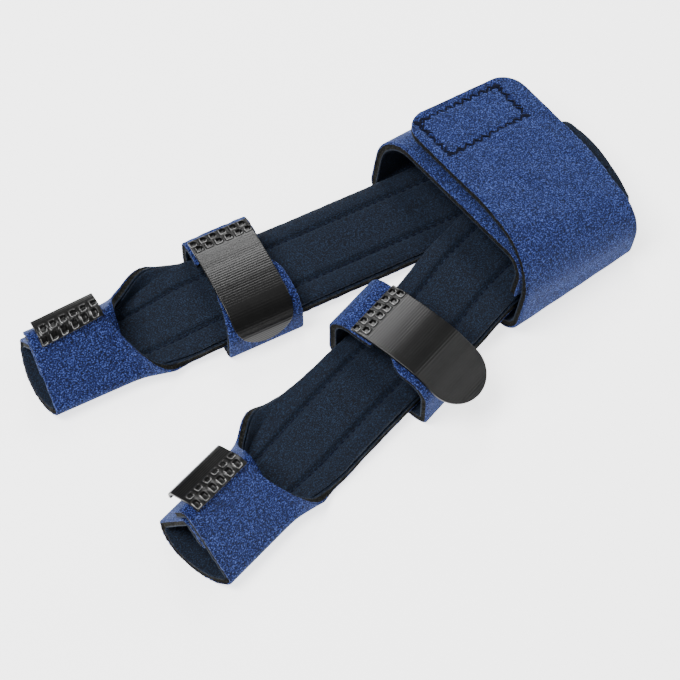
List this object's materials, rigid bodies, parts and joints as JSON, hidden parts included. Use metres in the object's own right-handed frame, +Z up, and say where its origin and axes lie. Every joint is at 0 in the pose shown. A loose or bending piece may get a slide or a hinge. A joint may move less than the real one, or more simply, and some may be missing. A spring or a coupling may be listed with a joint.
{
  "type": "two-finger hand splint",
  "caption": "Padded cloth splint lying palm side up: finger tongues with open fingertip sleeves and looped finger straps, crossing in a wrapped palm band with hook tape tabs.",
  "frame": {"origin": "middle of the footprint, at the height of the table that the splint lies on", "axes": "+X from the palm to the fingertips, +Y to the side of the longer finger, +Z up, away from the table and out of the palm"},
  "size_m": [0.189, 0.1056, 0.0354],
  "materials": {
    "loop_cloth": "brushed loop cloth on foam, matt",
    "knit_lining": "fine knit, matt",
    "hook_tape": "moulded, finely ribbed, semi-gloss"
  },
  "bodies": {
    "root": {"right_finger_shell": "loop_cloth", "right_finger_pad": "knit_lining", "right_sleeve_tab": "hook_tape", "right_strap": "loop_cloth", "right_strap_tab": "hook_tape", "left_finger_shell": "loop_cloth", "left_finger_pad": "knit_lining", "left_sleeve_tab": "hook_tape", "left_strap": "loop_cloth", "left_strap_tab": "hook_tape", "palm_band": "loop_cloth", "palm_hook_patch": "hook_tape"}
  },
  "joints": []
}
